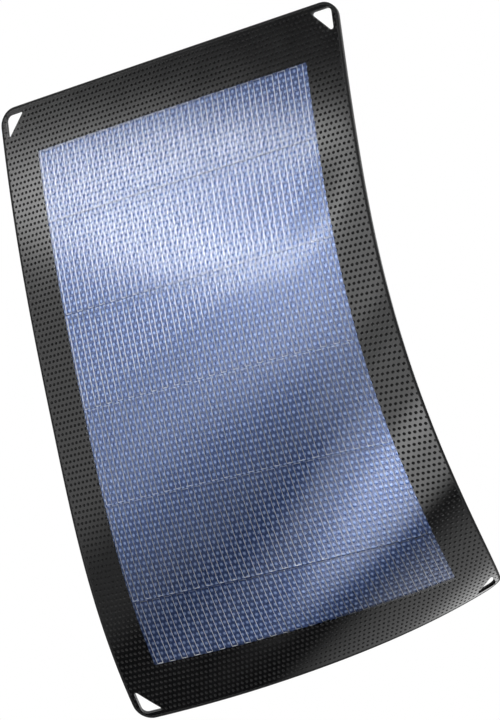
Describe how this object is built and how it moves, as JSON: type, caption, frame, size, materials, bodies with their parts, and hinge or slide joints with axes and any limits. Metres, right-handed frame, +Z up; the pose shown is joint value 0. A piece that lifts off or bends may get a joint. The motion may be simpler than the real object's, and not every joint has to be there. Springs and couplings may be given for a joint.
{
  "type": "flexible solar sheet",
  "caption": "Thin flexible solar panel held in a bent shape, with eyelets in its corners and a small junction box with a covered USB socket behind its top border.",
  "frame": {"origin": "midway between the two top eyelets, on the back face of the sheet, where a line or straps through them hold it", "axes": "+X across the sheet, to the right seen from the front; +Y to the rear, so the front faces -Y; +Z up, towards the top border"},
  "size_m": [0.1989, 0.1677, 0.3113],
  "materials": {
    "back_fabric": "matte woven-texture back sheet",
    "clear_adhesive": "clear soft",
    "black_border": "gloss black",
    "clear_film": "clear, embossed with small dimples",
    "cell_blue": "blue thin-film",
    "silver_wire": "bright tinned wire",
    "tinned_ribbon": "tinned",
    "copper_lead": "bare copper",
    "foam_pad": "closed-cell foam",
    "box_plastic": "fine moulded texture",
    "lid_plastic": "fine moulded texture",
    "seal_rubber": "soft",
    "screw_steel": "plated",
    "board_laminate": "solder resist",
    "socket_steel": "nickel plated",
    "socket_plastic": "white",
    "gold_contact": "gold plated",
    "chip_black": "moulded",
    "ferrite": "sintered",
    "capacitor_can": "satin",
    "led_body": "clear",
    "clear_pipe": "clear",
    "cover_rubber": "matte rubber",
    "pin_steel": "polished"
  },
  "bodies": {
    "panel": {"back_sheet": "back_fabric", "rear_adhesive": "clear_adhesive", "border_carrier": "black_border", "border_mask": "black_border", "front_adhesive": "clear_adhesive", "front_film": "clear_film", "cell_1": "cell_blue", "cell_2": "cell_blue", "cell_3": "cell_blue", "cell_4": "cell_blue", "cell_5": "cell_blue", "cell_6": "cell_blue", "wires_1": "silver_wire", "wires_2": "silver_wire", "wires_3": "silver_wire", "wires_4": "silver_wire", "wires_5": "silver_wire", "wires_6": "silver_wire", "top_bus_ribbon": "tinned_ribbon", "bottom_bus_ribbon": "tinned_ribbon", "return_ribbon": "tinned_ribbon", "left_lead": "copper_lead", "right_lead": "copper_lead", "box_pad": "foam_pad", "box_base": "box_plastic", "box_lid": "lid_plastic", "lid_seal": "seal_rubber", "lid_screws": "screw_steel", "circuit_board": "board_laminate", "usb_shell": "socket_steel", "usb_tongue": "socket_plastic", "usb_contacts": "gold_contact", "regulator_chip": "chip_black", "inductor": "ferrite", "capacitors": "capacitor_can", "blocking_diode": "chip_black", "status_led": "led_body", "light_pipe": "clear_pipe", "cover_pin": "pin_steel"},
    "cover": {"port_cover": "cover_rubber"}
  },
  "joints": [
    {"name": "cover_hinge", "type": "hinge", "parent": "panel", "child": "cover", "pos_m": [0, 0.013, -0.0196], "axis": [1, 0, 0], "range_deg": [0, 150]}
  ]
}
